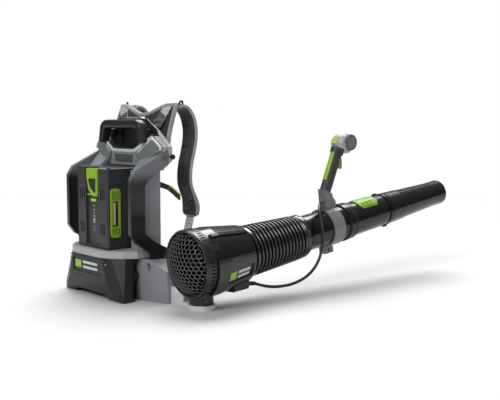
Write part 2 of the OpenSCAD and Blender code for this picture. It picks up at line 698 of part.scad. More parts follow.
module tube_panel() {
    color("#a9d03c") tube_frame() intersection() {
        turned([[tube_r - 0.2, 286], [tube_r + 1.6, 286], [44, 392], [42.3, 392]], -100, 62);
        along_z(0, 60, [[-30, 300], [0, 290], [28, 293], [37, 303], [37, 350], [26, 362], [-20, 362], [-30, 350]]);
    }
}
module nozzle() {
    color("#1b1b1d") tube_frame() union() {
        turned([[39.6 + run, joint_s], [43.5, joint_s], [43.5, joint_s + 6], [41.5, joint_s + 9],
            [nozzle_r, nozzle_end - 42], [nozzle_r, nozzle_end], [nozzle_r - 2.5, nozzle_end],
            [nozzle_r - 2.5, nozzle_end - 42], [38, joint_s + 32], [39.6 + run, joint_s + 26]]);
        // locating tabs of the twist fitting
        for (a = [70, 250]) rotate([0, a, 0]) block([42.5, joint_s - 5, -4], [46, joint_s + 5, 4]);
    }
}

// ---------------------------------------------------------------- cable
function route_dir(i) = unit(cable_route[min(i + 1, len(cable_route) - 1)] - cable_route[max(i - 1, 0)]);
function ring_points(i) = let (t = route_dir(i), u = unit(cross(t, [1, 0, 0])), v = cross(t, u))
    [for (k = [0:cable_sides - 1]) cable_route[i]
        + cable_d / 2 * (cos(k * 360 / cable_sides) * u + sin(k * 360 / cable_sides) * v)];
module control_cable() {
    n = len(cable_route);
    m = cable_sides;
    color("#161618") polyhedron(
        points = [for (i = [0:n - 1]) each ring_points(i)],
        faces = concat([[for (k = [0:m - 1]) k]], [[for (k = [m - 1:-1:0]) (n - 1) * m + k]],
            [for (i = [0:n - 2], k = [0:m - 1])
                [i * m + k, (i + 1) * m + k, (i + 1) * m + (k + 1) % m, i * m + (k + 1) % m]]));
}

lower_housing();
foot_pads();
battery_dock();
dock_terminals();
bay_wall();
side_walls();
cowl();
shoulder_panels();
recess_liner();
carry_handle();
back_frame();
side_guard_right();
side_guard_left();
side_base();
swivel_arm();
swivel_bush();
controller_box();
pack_screws();
strap_hook();
back_pad();
shoulder_yoke();
shoulder_strap_right();
shoulder_strap_left();
strap_webbing();
load_lifters();
chest_strap();
chest_buckle();
hip_belt();
battery_case();
battery_cells();
gauge_frame();
gauge_window();
battery_latch();
gauge_button();
fan_housing();
intake_ring();
intake_grille();
swivel_post();
motor_can();
stator_vanes();
motor_bearings();
side_cheek();
cable_boss();
cable_relief();
bellows_hose();
rotor_shaft();
impeller();
rear_tube();
clamp_band();
handle_base();
grip_shells();
grip_inlay();
handle_head();
front_tube();
tube_panel();
trigger();
boost_button();
speed_dial();
nozzle();
control_cable();
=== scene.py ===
import json
import math

import bmesh
import bpy
import numpy as np
from mathutils import Matrix, Vector


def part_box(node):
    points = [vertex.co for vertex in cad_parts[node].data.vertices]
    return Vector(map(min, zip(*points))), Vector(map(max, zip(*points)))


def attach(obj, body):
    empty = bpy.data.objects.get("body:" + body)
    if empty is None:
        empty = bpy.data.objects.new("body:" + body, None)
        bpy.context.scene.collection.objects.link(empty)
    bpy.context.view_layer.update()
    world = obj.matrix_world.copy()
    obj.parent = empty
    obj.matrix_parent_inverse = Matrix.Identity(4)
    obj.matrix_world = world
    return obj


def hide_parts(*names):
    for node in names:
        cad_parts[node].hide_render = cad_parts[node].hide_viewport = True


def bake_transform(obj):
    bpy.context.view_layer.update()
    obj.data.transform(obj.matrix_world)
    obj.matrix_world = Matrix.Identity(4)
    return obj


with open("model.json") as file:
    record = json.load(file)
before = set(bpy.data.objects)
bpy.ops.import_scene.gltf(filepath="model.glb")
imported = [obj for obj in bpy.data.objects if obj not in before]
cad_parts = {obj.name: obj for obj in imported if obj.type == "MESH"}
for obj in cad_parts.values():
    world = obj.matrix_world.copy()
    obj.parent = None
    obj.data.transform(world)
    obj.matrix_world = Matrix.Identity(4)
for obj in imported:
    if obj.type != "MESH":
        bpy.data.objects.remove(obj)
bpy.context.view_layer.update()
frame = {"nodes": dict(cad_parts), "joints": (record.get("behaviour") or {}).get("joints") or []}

# Backpack leaf blower on its CAD frame: X to its right, Y forwards, Z up. Pieces are built in millimetres.
nodes = frame["nodes"]
joints = {j["name"]: j for j in frame["joints"]}

# ------------------------------------------------------------------ camera
camera = bpy.data.objects.new("camera", bpy.data.cameras.new("camera"))
bpy.context.scene.collection.objects.link(camera)
camera.location = (1.7715, -1.1473, 0.4162)
camera.rotation_euler = (math.radians(84.733), 0, math.radians(49.165))
camera.data.lens = 61.2
camera.data.clip_start = 0.05
bpy.context.scene.camera = camera

# ------------------------------------------------------------------ frames of the blower, in metres
PIVOT = Vector(joints["tube_pitch"]["pos_m"])
MM = Matrix.Scale(0.001, 4)


def tilted(degrees, along=0, up=0):
    """Frame at the hose pivot, tipped up by that angle and shifted along its own axes, in millimetres."""
    return (Matrix.Translation(PIVOT) @ Matrix.Rotation(math.radians(degrees), 4, "X")
            @ Matrix.Translation((0, along / 1000, up / 1000)))


HOUSE = tilted(5)
HOSE = tilted(6.5)
TUBE = tilted(8)
GRIP = tilted(8, 200, 90) @ Matrix.Rotation(math.radians(-31), 4, "X")
WORLD = Matrix.Identity(4)

# ------------------------------------------------------------------ materials
EYELET_PITCH = 0.0042


def tint(code):
    """Linear colour of a hex code."""
    parts = [int(code[i:i + 2], 16) / 255 for i in (1, 3, 5)]
    return [p / 12.92 if p < 0.04045 else ((p + 0.055) / 1.055) ** 2.4 for p in parts] + [1.0]


class Nodes:
    """A material with a Principled shader and short ways to add and link nodes."""

    def __init__(self, name):
        self.material = bpy.data.materials.new(name)
        self.material.use_nodes = True
        self.tree = self.material.node_tree
        self.shader = self.tree.nodes["Principled BSDF"]
        self.where = self.add("ShaderNodeTexCoord").outputs["Object"]

    def add(self, kind, inputs=(), **settings):
        """A node; an input that is a socket is linked, and any other is set."""
        node = self.tree.nodes.new(kind)
        for key, value in settings.items():
            setattr(node, key, value)
        for key, value in dict(inputs).items():
            if isinstance(value, bpy.types.NodeSocket):
                self.tree.links.new(value, node.inputs[key])
            else:
                node.inputs[key].default_value = value
        return node

    def noise(self, scale, detail=3, stretch=None):
        where = self.where
        if stretch:
            where = self.add("ShaderNodeMapping", {"Vector": where, "Scale": stretch}).outputs[0]
        return self.add("ShaderNodeTexNoise", {"Vector": where, "Scale": scale, "Detail": detail}).outputs[0]

    def ramp(self, value, low, high, dark, light):
        ramp = self.add("ShaderNodeValToRGB", {"Fac": value})
        for stop, (at, colour) in zip(ramp.color_ramp.elements, ((low, dark), (high, light))):
            stop.position, stop.color = at, colour
        return ramp.outputs[0]

    def spread(self, value, low, high):
        """A noise's usual values, stretched to run from low to high."""
        return self.add("ShaderNodeMapRange", {"Value": value, "From Min": 0.3, "From Max": 0.7,
                                               "To Min": low, "To Max": high}).outputs[0]

    def multiplied(self, first, second):
        return self.add("ShaderNodeMixRGB", {"Fac": 1.0, "Color1": first, "Color2": second},
                        blend_type="MULTIPLY").outputs[0]

    def link(self, output, socket):
        self.tree.links.new(output, self.shader.inputs[socket])

    def bump(self, strength, distance, height, **more):
        inputs = {"Strength": strength, "Distance": distance, "Height": height, **more}
        self.link(self.add("ShaderNodeBump", inputs).outputs[0], "Normal")

    def fixed(self, **values):
        """Values that are the same all over, on the shader's own sockets; Coat_Weight sets Coat Weight."""
        for key, value in values.items():
            self.shader.inputs[key.replace("_", " ")].default_value = value


def shade(colour, factor):
    return [min(1.0, c * factor) for c in colour[:3]] + [1.0]


def grey(level):
    return [level] * 3 + [1]


def plastic(name, code, rough=0.5, grain=0.25, grain_scale=1400, tone=0.10, edge=0.0009, wear=0.35, coat=0.0,
            shine=0.5):
    """Moulded plastic: fine grain and slow colour drift. Edges are rounded and worn, unless edge is 0."""
    n = Nodes(name)
    colour = tint(code)
    base = n.ramp(n.noise(9, 4), 0.3, 0.7, shade(colour, 1 - tone), shade(colour, 1 + tone))
    speck = n.ramp(n.noise(grain_scale * 0.7, 1), 0.35, 0.65, grey(0.90), grey(1.06))
    base = n.multiplied(base, speck)
    n.fixed(Coat_Weight=coat, Coat_Roughness=0.12, Specular_IOR_Level=shine)
    drift = 0.06 if rough > 0.3 else 0.02
    n.link(n.spread(n.noise(60, 3), rough - drift, rough + drift), "Roughness")
    if not edge:
        n.link(base, "Base Color")
        n.bump(grain, 0.0003, n.noise(grain_scale, 2))
        return n.material
    bevel = n.add("ShaderNodeBevel", {"Radius": edge}, samples=4)
    flat = n.add("ShaderNodeNewGeometry").outputs["True Normal"]
    turn = n.add("ShaderNodeVectorMath", {0: bevel.outputs[0], 1: flat}, operation="DOT_PRODUCT")
    worn = n.add("ShaderNodeMapRange", {"Value": turn.outputs["Value"], "From Min": 0.995,
                                        "From Max": 0.88, "To Min": 0.0, "To Max": wear}).outputs[0]
    base = n.add("ShaderNodeMixRGB", {"Fac": worn, "Color1": base,
                                      "Color2": shade([c + 0.03 for c in colour[:3]], 1.9)}).outputs[0]
    n.link(base, "Base Color")
    n.bump(grain, 0.0004, n.noise(grain_scale, 2), Normal=bevel.outputs[0])
    return n.material


def metal(name, code, rough=0.35):
    """Turned or stamped metal with fine brushing."""
    n = Nodes(name)
    colour = tint(code)
    n.link(n.ramp(n.noise(40, 3), 0.3, 0.7, shade(colour, 0.85), shade(colour, 1.1)), "Base Color")
    brush = n.noise(300, 2, stretch=(1, 14, 1))
    n.link(n.spread(brush, rough - 0.1, rough + 0.1), "Roughness")
    n.bump(0.15, 0.0002, brush)
    n.fixed(Metallic=1.0)
    return n.material


def woven(name, code, pitch, depth=0.6):
    """Cloth: over-and-under threads of that pitch in metres, with lint and colour drift."""
    n = Nodes(name)
    colour = tint(code)
    # A wave texture at scale 1 repeats every pi / 10
    turns = 1 / (pitch * 20 / math.pi / 2)
    threads = [n.add("ShaderNodeTexWave", {"Vector": n.where, "Scale": turns, "Distortion": 0.4,
                                           "Detail": 1.0}, bands_direction=axis).outputs["Fac"]
               for axis in ("X", "Z", "Y")]
    weave = n.add("ShaderNodeMath", {0: threads[0], 1: threads[1]}, operation="MULTIPLY").outputs[0]
    weave = n.add("ShaderNodeMath", {0: weave, 1: threads[2]}, operation="ADD").outputs[0]
    drift = n.ramp(n.noise(25, 4), 0.3, 0.7, shade(colour, 0.82), shade(colour, 1.18))
    n.link(n.multiplied(drift, n.ramp(weave, 0.1, 1.2, grey(0.62), grey(1.12))), "Base Color")
    n.link(n.spread(n.noise(200, 2), 0.82, 0.98), "Roughness")
    n.bump(depth, 0.0006, weave)
    n.fixed(Sheen_Weight=0.25, Sheen_Roughness=0.5)
    return n.material


def spacer(name, code):
    """Air mesh over foam: rows of round eyelets with raised threads between them."""
    n = Nodes(name)
    colour = tint(code)
    cells = n.add("ShaderNodeTexVoronoi", {"Vector": n.where, "Scale": 1 / EYELET_PITCH,
                                           "Randomness": 0.12})
    eye = n.ramp(cells.outputs["Distance"], 0.16, 0.42, shade(colour, 0.35), shade(colour, 1.15))
    n.link(n.multiplied(eye, n.ramp(n.noise(18, 3), 0.3, 0.7, grey(0.85), grey(1.12))), "Base Color")
    n.link(n.spread(n.noise(150, 2), 0.82, 0.95), "Roughness")
    n.bump(0.7, 0.001, cells.outputs["Distance"])
    n.fixed(Sheen_Weight=0.3)
    return n.material


def rubber(name, code, rough=0.62, coat=0.0):
    """Rubber with a dusty bloom; coat makes it shiny."""
    n = Nodes(name)
    colour = tint(code)
    n.link(n.ramp(n.noise(30, 5), 0.35, 0.7, shade(colour, 0.8), shade(colour, 1.35)), "Base Color")
    n.link(n.spread(n.noise(120, 3), rough - 0.1, rough + 0.1), "Roughness")
    n.bump(0.25, 0.0003, n.noise(2200, 2))
    n.fixed(Coat_Weight=coat, Coat_Roughness=0.2)
    return n.material


M = {
    "charcoal": plastic("charcoal", "#2d2e30", 0.4, shine=0.4),
    "housing": plastic("housing", "#212224", 0.42, shine=0.35),
    "bay": plastic("bay", "#161618", 0.6),
    "guard": plastic("guard", "#1a1b1d", 0.3, edge=0.002, coat=0.2),
    "dock": plastic("dock", "#9d9fa2", 0.36, tone=0.04, edge=0.0015),
    "frame_grey": plastic("frame_grey", "#a9abae", 0.4, tone=0.04, edge=0.0015),
    "side_grey": plastic("side_grey", "#8a8a8f", 0.5, tone=0.04),
    "cowl": plastic("cowl", "#898c90", 0.36, tone=0.05, edge=0.002),
    # A darker copy of the panel's grey: painted shade for the facet under the lip
    "cowl_slate": plastic("cowl_slate", "#4d5456", 0.4, tone=0.05, edge=0.001),
    "panel": plastic("panel", "#6c7674", 0.34, tone=0.05, edge=0.0015),
    "lip": plastic("lip", "#c6c8ca", 0.35, tone=0.03, edge=0.001),
    # A darker copy of the lip grey: painted shade for the left panel's border
    "lip_dull": plastic("lip_dull", "#989b9e", 0.36, tone=0.04, edge=0.001),
    "arm_grey": plastic("arm_grey", "#7d7e82", 0.4, tone=0.06, edge=0.0025),
    "arm_white": plastic("arm_white", "#c6c7c9", 0.38, tone=0.03, edge=0.0025),
    "recess": plastic("recess", "#1c1d1f", 0.5),
    "carry": plastic("carry", "#1f2022", 0.36, grain=0.1, edge=0.001, shine=0.4),
    "gloss": plastic("gloss", "#0b0b0c", 0.22, grain=0.01, edge=0.0006, coat=0.25, wear=0.12,
                     shine=0.3),
    "tube": plastic("tube", "#09090a", 0.22, grain=0.01, edge=0.0006, coat=0.15, wear=0.12,
                    shine=0.3),
    "cheek": plastic("cheek", "#17181a", 0.32, grain=0.1, edge=0.0015, coat=0.2),
    "ring": plastic("ring", "#151517", 0.32, edge=0.0006),
    "mesh": plastic("mesh", "#2c2d2f", 0.2, grain=0.02, edge=0.0004, wear=0.6, coat=0.4),
    # Near-black and dull: painted shade on the impeller and vanes seen through the grille
    "inner": plastic("inner", "#040405", 0.6, wear=0.0, shine=0.1),
    "boss": plastic("boss", "#1d1e20", 0.42, edge=0.0015),
    "lime": plastic("lime", "#86b41f", 0.36, tone=0.05, wear=0.12),
    "lime_mid": plastic("lime_mid", "#6a9420", 0.4, tone=0.05, wear=0.1),
    "lime_dark": plastic("lime_dark", "#3f6312", 0.45, tone=0.06, wear=0.1),
    "lime_pale": plastic("lime_pale", "#b3c84a", 0.36, tone=0.04, wear=0.12),
    "olive": plastic("olive", "#8aa02a", 0.4, tone=0.06, wear=0.1),
    "grip": plastic("grip", "#2a2b2d", 0.5, grain=0.5, grain_scale=900, edge=0.0006, wear=0.1),
    "head": plastic("head", "#9b9da1", 0.42, grain=0.0, tone=0.03, edge=0),
    "dial": plastic("dial", "#66686b", 0.45, edge=0.0008, wear=0.15),
    "base_grey": plastic("base_grey", "#66686b", 0.42, tone=0.05, edge=0.0012),
    "band": plastic("band", "#6b6d70", 0.36, tone=0.05, edge=0.0006, wear=0.15),
    "window": plastic("window", "#2a2427", 0.15, grain=0.02, edge=0.0004, coat=0.6),
    "pinkish": plastic("pinkish", "#dcb3a8", 0.5, tone=0.03, wear=0),
    "mark": plastic("mark", "#a3a49e", 0.6, tone=0.04, wear=0),
    "mark_dull": plastic("mark_dull", "#6f7650", 0.6, tone=0.06, wear=0),
    "black": plastic("black", "#0b0b0c", 0.45, edge=0.0004),
    "screw": metal("screw", "#77797c"),
    "copper": metal("copper", "#b87333", 0.35),
    # Near-black: painted shade on the motor seen through the grille
    "motor": metal("motor", "#1d1e20", 0.5),
    "brass": metal("brass", "#c9a25a", 0.4),
    "cells": plastic("cells", "#4f8fb8", 0.35),
    "rubber": rubber("rubber", "#121213"),
    "bellows": rubber("bellows", "#0a0a0b", 0.26, 0.6),
    # Near-black and dull: painted shade for the bellows' valleys
    "valley_shade": plastic("valley_shade", "#030303", 0.7, grain=0.1, edge=0, shine=0.05),
    "cable": rubber("cable", "#101011", 0.4),
    "mesh_cloth": spacer("mesh_cloth", "#29292c"),
    "shell_cloth": woven("shell_cloth", "#1e1f21", 0.0012),
    "pad_cloth": woven("pad_cloth", "#222325", 0.0014),
    "webbing": woven("webbing", "#b6b8bb", 0.0018, 0.8),
    # A paler copy of the webbing grey: painted light on webbing that lies in the strap's shade
    "webbing_pale": woven("webbing_pale", "#c3c5c8", 0.0018, 0.8),
    "webbing_dark": woven("webbing_dark", "#3d3f42", 0.0018, 0.8),
    "binding": woven("binding", "#999b9e", 0.0010, 0.5),
    "thread": woven("thread", "#5a5c5f", 0.0006, 0.4),
}


def fade_with_height(material, low, high, code):
    """Fades a finish to another colour between two heights, in metres."""
    tree = material.node_tree
    shader = tree.nodes["Principled BSDF"]
    socket = shader.inputs["Base Color"]
    below = socket.links[0].from_socket
    place = tree.nodes.new("ShaderNodeSeparateXYZ")
    tree.links.new(tree.nodes["Texture Coordinate"].outputs["Object"], place.inputs[0])
    share = tree.nodes.new("ShaderNodeMapRange")
    share.interpolation_type = "SMOOTHSTEP"
    share.inputs["From Min"].default_value, share.inputs["From Max"].default_value = low, high
    tree.links.new(place.outputs["Z"], share.inputs["Value"])
    mix = tree.nodes.new("ShaderNodeMixRGB")
    mix.inputs["Color2"].default_value = tint(code)
    tree.links.new(share.outputs[0], mix.inputs["Fac"])
    tree.links.new(below, mix.inputs["Color1"])
    tree.links.new(mix.outputs[0], socket)


# The guard turns grey towards its top arms, faded in by height
fade_with_height(M["guard"], 0.272, 0.306, "#6d6f72")

FINISH = {
    "charcoal": ["battery_case"],
    "housing": ["lower_housing"],
    "bay": ["bay_wall", "controller_box"],
    "guard": ["side_guard_right", "side_guard_left"],
    "dock": ["battery_dock"],
    "frame_grey": ["back_frame"],
    "side_grey": ["side_walls"],
    "cowl": ["cowl"],
    "panel": ["shoulder_panels"],
    "arm_grey": ["side_base"],
    "arm_white": ["swivel_arm"],
    "recess": ["recess_liner"],
    "gloss": ["fan_housing"],
    "tube": ["rear_tube", "front_tube", "nozzle"],
    "cheek": ["side_cheek"],
    "ring": ["intake_ring"],
    "boss": ["cable_boss", "swivel_post"],
    "lime": ["gauge_frame", "battery_latch", "grip_inlay"],
    "lime_pale": ["gauge_button", "boost_button"],
    "lime_mid": ["trigger", "tube_panel"],
    "grip": ["grip_shells"],
    "head": ["handle_head"],
    "dial": ["speed_dial"],
    "base_grey": ["handle_base"],
    "band": ["clamp_band"],
    "window": ["gauge_window"],
    "screw": ["pack_screws"],
    # Near-black finish on the motor behind the grille: painted shade
    "motor": ["rotor_shaft", "motor_can", "motor_bearings"],
    "copper": ["dock_terminals"],
    "brass": ["swivel_bush"],
    "black": ["strap_hook"],
    # Near-black finish on the impeller and vanes behind the grille: painted shade
    "inner": ["impeller", "stator_vanes"],
    "cells": ["battery_cells"],
    "rubber": ["foot_pads", "cable_relief"],
}
for finish, names in FINISH.items():
    for name in names:
        nodes[name].data.materials.clear()
        nodes[name].data.materials.append(M[finish])


# ------------------------------------------------------------------ mesh building, in millimetres
def piece(name, shape, finish, body, place=WORLD, hides=(), soft_edges=40):
    """A mesh object from (points, faces), placed in a frame, riding on a CAD body and replacing CAD nodes."""
    mesh = bpy.data.meshes.new(name)
    mesh.from_pydata([tuple(p) for p in shape[0]], [], shape[1])
    mesh.transform(place @ MM)
    work = bmesh.new()
    work.from_mesh(mesh)
    bmesh.ops.remove_doubles(work, verts=work.verts, dist=1e-6)
    bmesh.ops.recalc_face_normals(work, faces=work.faces)
    work.to_mesh(mesh)
    work.free()
    mesh.polygons.foreach_set("use_smooth", [True] * len(mesh.polygons))
    mesh.set_sharp_from_angle(angle=math.radians(soft_edges))
    for f in finish if isinstance(finish, list) else [finish]:
        mesh.materials.append(M[f])
    obj = bpy.data.objects.new(name, mesh)
    bpy.context.scene.collection.objects.link(obj)
    if body:
        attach(obj, body)
    if hides:
        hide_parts(*hides)
    return obj


def rounded(obj, width, segments=3):
    """Rounds an object's sharp edges, width in millimetres."""
    bevel = obj.modifiers.new("edges", "BEVEL")
    bevel.width, bevel.segments, bevel.limit_method = width / 1000, segments, "ANGLE"
    bevel.angle_limit = math.radians(30)


def merged(*shapes):
    """Several shapes as one, without joining them."""
    points, faces = [], []
    for p, f in shapes:
        faces += [[i + len(points) for i in face] for face in f]
        points += list(p)
    return points, faces


def loft(rings, caps=True, loop=False):
    """Skin over a list of rings that each have the same number of points."""
    size = len(rings[0])
    points = [p for ring in rings for p in ring]
    faces = []
    for i in range(len(rings) if loop else len(rings) - 1):
        for k in range(size):
            a, b = i * size, (i + 1) % len(rings) * size
            faces.append([a + k, b + k, b + (k + 1) % size, a + (k + 1) % size])
    if caps and not loop:
        faces += [list(range(size)), [(len(rings) - 1) * size + k for k in reversed(range(size))]]
    return points, faces


def revolve(profile, sides=96, loop=False):
    """Solid or skin of revolution about Y from [radius, along] points."""
    rings = [[(r * math.cos(a), s, -r * math.sin(a)) for a in
              (2 * math.pi * k / sides for k in range(sides))] for r, s in profile]
    return loft(rings, caps=not loop, loop=loop)


def extrude(outline, low, high, axis):
    """Outline in the plane across an axis, made solid from low to high. X takes Y and Z, Y takes X and Z."""
    order = {"x": lambda u, v, w: (w, u, v), "y": lambda u, v, w: (u, w, v), "z": lambda u, v, w: (u, v, w)}
    return loft([[order[axis](u, v, w) for u, v in outline] for w in (low, high)])


def block(low, high):
    """Box between two corners."""
    return extrude([(low[0], low[1]), (high[0], low[1]), (high[0], high[1]), (low[0], high[1])],
                   low[2], high[2], "z")


def oval(a, b, count=24, power=2.0):
    """Superellipse; a higher power gives squarer corners."""
    ring = []
    for k in range(count):
        c, s = math.cos(2 * math.pi * k / count), math.sin(2 * math.pi * k / count)
        ring.append((a * math.copysign(abs(c) ** (2 / power), c),
                     b * math.copysign(abs(s) ** (2 / power), s)))
    return ring


def curve(points, steps=8):
    """Smooth line through the points."""
    pts = [Vector(p) for p in points]
    pts = [2 * pts[0] - pts[1]] + pts + [2 * pts[-1] - pts[-2]]
    line = []
    for i in range(1, len(pts) - 2):
        p0, p1, p2, p3 = pts[i - 1:i + 3]
        for k in range(steps):
            t = k / steps
            line.append(0.5 * (2 * p1 + (p2 - p0) * t + (2 * p0 - 5 * p1 + 4 * p2 - p3) * t ** 2
                               + (3 * p1 - p0 - 3 * p2 + p3) * t ** 3))
    return line + [pts[-2]]


def directions(line):
    return [(line[min(i + 1, len(line) - 1)] - line[max(i - 1, 0)]).normalized() for i in range(len(line))]


def tube(points, radius, sides=12, steps=8):
    """Round rod of one radius along a smooth line."""
    line = curve(points, steps)
    rings, up = [], Vector((1, 0, 0.01))
    for p, d in zip(line, directions(line)):
        u = (up - d * up.dot(d)).normalized()
        up, v = u, d.cross(u)
        rings.append([p + radius * (math.cos(2 * math.pi * k / sides) * u
                                    + math.sin(2 * math.pi * k / sides) * v) for k in range(sides)])
    return loft(rings)


def ribbon(points, across, width, thick, steps=6, power=5.0, count=20):
    """Flat band along a smooth line; width and thick may be functions of the share of the way along."""
    line = curve(points, steps)
    across = Vector(across).normalized()
    rings = []
    for i, (p, d) in enumerate(zip(line, directions(line))):
        side = (across - d * across.dot(d)).normalized()
        face = side.cross(d)
        share = i / (len(line) - 1)
        w = (width(share) if callable(width) else width) / 2
        t = (thick(share) if callable(thick) else thick) / 2
        rings.append([p + side * a + face * b for a, b in oval(w, t, count, power)])
    return loft(rings)


def mirror_x(shape):
    return [(-p[0], p[1], p[2]) for p in shape[0]], [list(reversed(f)) for f in shape[1]]


def both_sides(name, shape, finish, body, hides=()):
    """The same piece on the right and the left of the pack. The right one stands for the CAD nodes."""
    right = piece(name + "_right", shape, finish, body, hides=hides)
    left = piece(name + "_left", mirror_x(shape), finish, body)
    return right, left


# ------------------------------------------------------------------ control cable
# The same route as in the CAD, in metres
CABLE = [(0.3192, 0.123, 0.0458), (0.321, 0.136, 0.041), (0.325, 0.154, 0.036), (0.330, 0.173, 0.033),
         (0.336, 0.193, 0.033), (0.342, 0.213, 0.035), (0.347, 0.233, 0.040), (0.351, 0.252, 0.048),
         (0.353, 0.269, 0.058), (0.354, 0.284, 0.071), (0.354, 0.296, 0.087), (0.354, 0.304, 0.105),
         (0.353, 0.309, 0.124), (0.351, 0.312, 0.144), (0.347, 0.314, 0.163), (0.340, 0.317, 0.180),
         (0.330, 0.323, 0.194), (0.319, 0.332, 0.205), (0.307, 0.345, 0.213), (0.2974, 0.360, 0.2165)]
cable = piece("cable_sleeve", tube([Vector(p) * 1000 for p in CABLE], 3.5, 16), "cable", None,
              hides=["control_cable"])
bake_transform(cable)

# ------------------------------------------------------------------ bellows hose
HOSE_HALF, HOSE_R0, HOSE_R1, HOSE_WALL = 89, 61, 53.5, 2.2
RIDGES, RIDGE_STEPS, RIDGE_HEIGHT, RIDGES_FROM_END = 14, 12, 8, 11
CUFF_LENGTH, CUFF_STEP = 7, 1
# Painted shade of the valleys, a near-black dull finish, starts this far below the ridges' tops
VALLEY_SHADE_DEPTH = 3.4


def hose_radius(s):
    """Radius over the ridges, which tapers along the hose."""
    return HOSE_R0 + (HOSE_R1 - HOSE_R0) * (s + HOSE_HALF) / (2 * HOSE_HALF)


def hose_profile(inset):
    """Cuff, rounded ridges with tighter valleys, cuff."""
    line = [(HOSE_R0 - CUFF_STEP - inset, s) for s in (-HOSE_HALF, -HOSE_HALF + CUFF_LENGTH)]
    first, last, steps = -HOSE_HALF + RIDGES_FROM_END, HOSE_HALF - RIDGES_FROM_END, RIDGE_STEPS * RIDGES
    for k in range(steps + 1):
        s = first + (last - first) * k / steps
        crest = abs(math.sin(math.pi * k / RIDGE_STEPS)) ** 1.1
        line.append((hose_radius(s) - RIDGE_HEIGHT * (1 - crest) - inset, s))
    return line + [(HOSE_R1 - CUFF_STEP - inset, s) for s in (HOSE_HALF - CUFF_LENGTH, HOSE_HALF)]


bellows = piece("bellows_skin", revolve(hose_profile(0) + hose_profile(HOSE_WALL)[::-1], 112, loop=True),
                "bellows", None, HOSE, hides=["bellows_hose"], soft_edges=60)
# Polygons deep in the valleys get the near-black dull finish, a painted shade
bellows.data.materials.append(M["valley_shade"])
to_hose = HOSE.inverted()
for polygon in bellows.data.polygons:
    q = to_hose @ polygon.center * 1000
    if abs(q.y) < HOSE_HALF - 10 and math.hypot(q.x, q.z) < hose_radius(q.y) - VALLEY_SHADE_DEPTH:
        polygon.material_index = 1
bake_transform(bellows)

# ------------------------------------------------------------------ intake grille
GRILLE_BALL, GRILLE_CENTRE, GRILLE_RIM, GRILLE_THICK = 97, -178, 71.4, 0.0016
EYE_PITCH, EYE_SHARE = 10.2, 0.83


def on_dome(x, z):
    """Point of the grille's dome, kept inside its rim."""
    r = math.hypot(x, z)
    if r > GRILLE_RIM:
        x, z, r = x * GRILLE_RIM / r, z * GRILLE_RIM / r, GRILLE_RIM
    return x, GRILLE_CENTRE - math.sqrt(GRILLE_BALL ** 2 - r * r), z


def grille():
    """Domed plate of hexagonal cells, each with a hexagonal eye."""
    points, faces = [], []
    step = EYE_PITCH * math.sqrt(3) / 2
    for row in range(-9, 10):
        for column in range(-8, 9):
            x, z = (column + (row % 2) / 2) * EYE_PITCH, row * step
            if math.hypot(x, z) > GRILLE_RIM - 1.5:
                continue
            start = len(points)
            for size in (EYE_PITCH / math.sqrt(3), EYE_PITCH / math.sqrt(3) * EYE_SHARE):
                for k in range(6):
                    a = math.radians(60 * k + 30)
                    points.append(on_dome(x + size * math.cos(a), z + size * math.sin(a)))
            faces += [[start + k, start + (k + 1) % 6, start + 6 + (k + 1) % 6, start + 6 + k]
                      for k in range(6)]
    return points, faces


guard = piece("grille_mesh", grille(), "mesh", "blower", HOUSE, hides=["intake_grille"])
solid = guard.modifiers.new("thickness", "SOLIDIFY")
solid.thickness, solid.offset = GRILLE_THICK, 0
piece("grille_rim", revolve([(70.2, -245.5), (71.9, -244.5), (71.9, -240), (70.2, -240)], 96, loop=True),
      "mesh", "blower", HOUSE)

# ------------------------------------------------------------------ soft goods
STITCH_STRIDE, STITCH_SHARE = 4.5, 0.62
CLOTH_PRESSURE, CLOTH_FRAMES = 4.0, 18


def stitches(points, radius=0.35):
    """A row of short threads along a smooth line."""
    line, shapes, travelled = curve(points, 6), [], 0.0
    for a, b in zip(line, line[1:]):
        travelled += (b - a).length
        if travelled >= STITCH_STRIDE:
            travelled = 0.0
            d = (b - a).normalized() * STITCH_STRIDE * STITCH_SHARE / 2
            shapes.append(tube([a - d, a + d], radius, 5, 1))
    return merged(*shapes)


def swollen(obj, voxel, cap):
    """Puffs a closed form up with a short cloth run, and keeps it with no point moved further than cap."""
    scene = bpy.context.scene

    def shown_mesh():
        return bpy.data.meshes.new_from_object(obj.evaluated_get(bpy.context.evaluated_depsgraph_get()))

    even = obj.modifiers.new("even", "REMESH")
    even.mode, even.voxel_size, even.use_smooth_shade = "VOXEL", voxel / 1000, True
    bpy.context.view_layer.update()
    mesh = shown_mesh()
    obj.modifiers.clear()
    obj.data = mesh
    before = np.array([v.co for v in mesh.vertices])
    cloth = obj.modifiers.new("cloth", "CLOTH")
    cloth.settings.use_pressure, cloth.settings.uniform_pressure_force = True, CLOTH_PRESSURE
    cloth.settings.effector_weights.gravity = 0
    cloth.settings.quality, cloth.point_cache.frame_end = 4, CLOTH_FRAMES
    for f in range(1, CLOTH_FRAMES + 1):
        scene.frame_set(f)
    after = np.array([v.co for v in shown_mesh().vertices])
    scene.frame_set(1)
    obj.modifiers.clear()
    move = after - before
    size = np.linalg.norm(move, axis=1, keepdims=True)
    move *= np.minimum(1, cap / 1000 / np.maximum(size, 1e-9))
    mesh.vertices.foreach_set("co", (before + move).ravel())
    mesh.update()


def reshape(obj, rule):
    """Moves every point of a finished mesh by a rule on its place in millimetres."""
    for v in obj.data.vertices:
        v.co = Vector(rule(v.co * 1000)) / 1000
    obj.data.update()


def smoother(obj):
    """Adds one level of subdivision."""
    sub = obj.modifiers.new("smooth", "SUBSURF")
    sub.levels = sub.render_levels = 1


